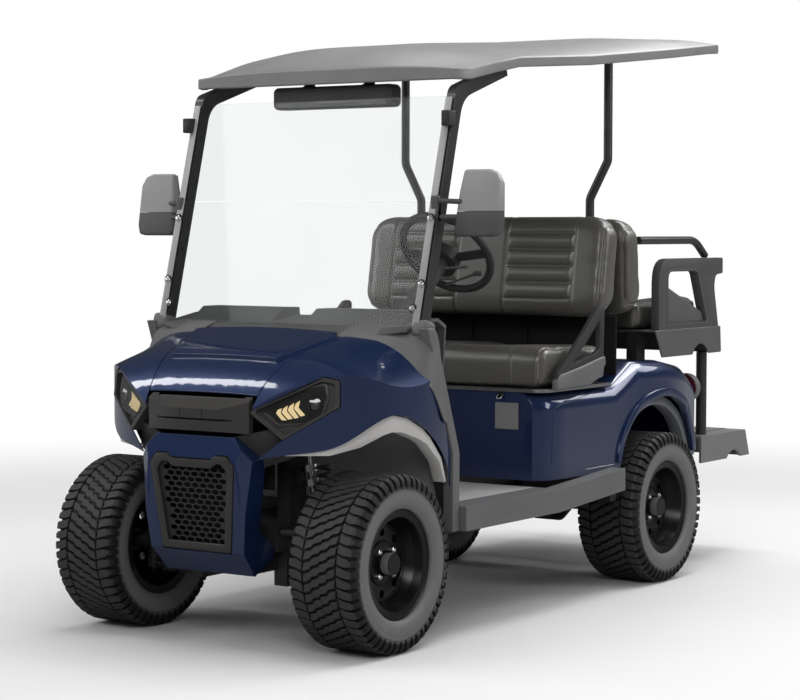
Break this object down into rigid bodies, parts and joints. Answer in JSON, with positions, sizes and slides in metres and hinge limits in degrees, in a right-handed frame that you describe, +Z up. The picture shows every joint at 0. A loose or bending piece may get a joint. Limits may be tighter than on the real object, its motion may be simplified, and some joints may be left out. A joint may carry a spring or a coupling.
{
  "type": "golf cart",
  "caption": "Two-row electric golf cart with a canopy, folding windscreen, rear-facing back seat with foot platform, honeycomb grille and off-road tyres.",
  "frame": {"origin": "on the ground at the middle of the overall length and width, under the standing cart", "axes": "+Z up, the nose faces -Y, +X is the driver side (the left of the cart)"},
  "size_m": [1.47, 2.997, 2.0633],
  "materials": {
    "tyre_rubber": "matt rubber with moulded tread",
    "rim_black": "satin black paint",
    "frame_black": "black powder coat",
    "post_black": "dark grey powder coat",
    "shock_steel": "bare spring steel",
    "battery_case": "moulded case",
    "body_blue": "deep metallic blue under clear coat",
    "trim_black": "grained dark grey moulding",
    "floor_mat": "dimpled rubber mat",
    "lens_dark": "smoked lamp lens",
    "lamp_red": "red lens",
    "wheel_grip": "soft black grip",
    "seat_leather": "dark brown leatherette with pale seams",
    "pan_silver": "bright edging",
    "roof_paint": "dark grey moulded canopy",
    "screen_clear": "clear polycarbonate"
  },
  "bodies": {
    "cart": {"armrests": "post_black", "battery_pack": "battery_case", "chassis_frame": "frame_black", "cowl_sides": "trim_black", "dashboard": "trim_black", "fender_left": "body_blue", "fender_right": "body_blue", "floor_pan": "floor_mat", "foot_platform": "trim_black", "front_arms": "frame_black", "front_bumper": "body_blue", "front_posts": "post_black", "front_shocks": "shock_steel", "grab_rails": "post_black", "grille": "trim_black", "headlamps": "lens_dark", "hip_restraints": "trim_black", "hood": "body_blue", "lamp_bar": "trim_black", "light_bar": "trim_black", "mirrors": "trim_black", "pedals": "frame_black", "rear_axle": "frame_black", "rear_body": "body_blue", "rear_posts": "post_black", "rear_springs": "frame_black", "rear_tray": "trim_black", "roof": "roof_paint", "seat_back_front": "seat_leather", "seat_back_rear": "seat_leather", "seat_cushion_rear": "seat_leather", "seat_frame": "frame_black", "sills": "trim_black", "steering_column": "trim_black", "step_posts": "post_black", "tail_lamps": "lamp_red", "windscreen": "screen_clear"},
    "wheel_front_left": {"tyre_front_left": "tyre_rubber", "rim_front_left": "rim_black"},
    "wheel_front_right": {"tyre_front_right": "tyre_rubber", "rim_front_right": "rim_black"},
    "wheel_rear_left": {"tyre_rear_left": "tyre_rubber", "rim_rear_left": "rim_black"},
    "wheel_rear_right": {"tyre_rear_right": "tyre_rubber", "rim_rear_right": "rim_black"},
    "upright_left": {"knuckle_left": "frame_black"},
    "upright_right": {"knuckle_right": "frame_black"},
    "rack": {"steering_rack": "frame_black"},
    "hand_wheel": {"steering_wheel": "wheel_grip"},
    "seat_lid": {"seat_pan": "pan_silver", "seat_cushion_front": "seat_leather"},
    "flap": {"charger_flap": "trim_black"}
  },
  "joints": [
    {"name": "steer_left", "type": "hinge", "parent": "cart", "child": "upright_left", "pos_m": [0.4, -1.196, 0.2795], "axis": [0, 0, 1], "range_deg": [-28, 28]},
    {"name": "steer_right", "type": "hinge", "parent": "cart", "child": "upright_right", "pos_m": [-0.4, -1.196, 0.2795], "axis": [0, 0, 1], "range_deg": [-28, 28]},
    {"name": "steering_wheel_turn", "type": "hinge", "parent": "cart", "child": "hand_wheel", "pos_m": [0.275, -0.45, 1.236], "axis": [0, 0.766, 0.6428], "range_deg": [-336, 336]},
    {"name": "rack_slide", "type": "slide", "parent": "cart", "child": "rack", "axis": [1, 0, 0], "range_m": [-0.037, 0.037]},
    {"name": "spin_front_left", "type": "hinge", "parent": "upright_left", "child": "wheel_front_left", "pos_m": [0.475, -1.196, 0.2795], "axis": [1, 0, 0], "continuous": true},
    {"name": "spin_front_right", "type": "hinge", "parent": "upright_right", "child": "wheel_front_right", "pos_m": [-0.475, -1.196, 0.2795], "axis": [1, 0, 0], "continuous": true},
    {"name": "spin_rear_left", "type": "hinge", "parent": "cart", "child": "wheel_rear_left", "pos_m": [0.475, 0.596, 0.2795], "axis": [1, 0, 0], "continuous": true},
    {"name": "spin_rear_right", "type": "hinge", "parent": "cart", "child": "wheel_rear_right", "pos_m": [-0.475, 0.596, 0.2795], "axis": [1, 0, 0], "continuous": true},
    {"name": "seat_lift", "type": "hinge", "parent": "cart", "child": "seat_lid", "pos_m": [0, 0.262, 0.7523], "axis": [-1, 0, 0], "range_deg": [0, 25]},
    {"name": "charger_flap_open", "type": "hinge", "parent": "cart", "child": "flap", "pos_m": [0.385, -0.2313, 0.714], "axis": [-1, 0, 0], "range_deg": [0, 90]}
  ],
  "couplings": [
    {"joint": "steer_right", "follows": "steer_left", "ratio": 1},
    {"joint": "steering_wheel_turn", "follows": "steer_left", "ratio": 12},
    {"joint": "rack_slide", "follows": "steer_left", "m_per_rad": -0.073972}
  ]
}
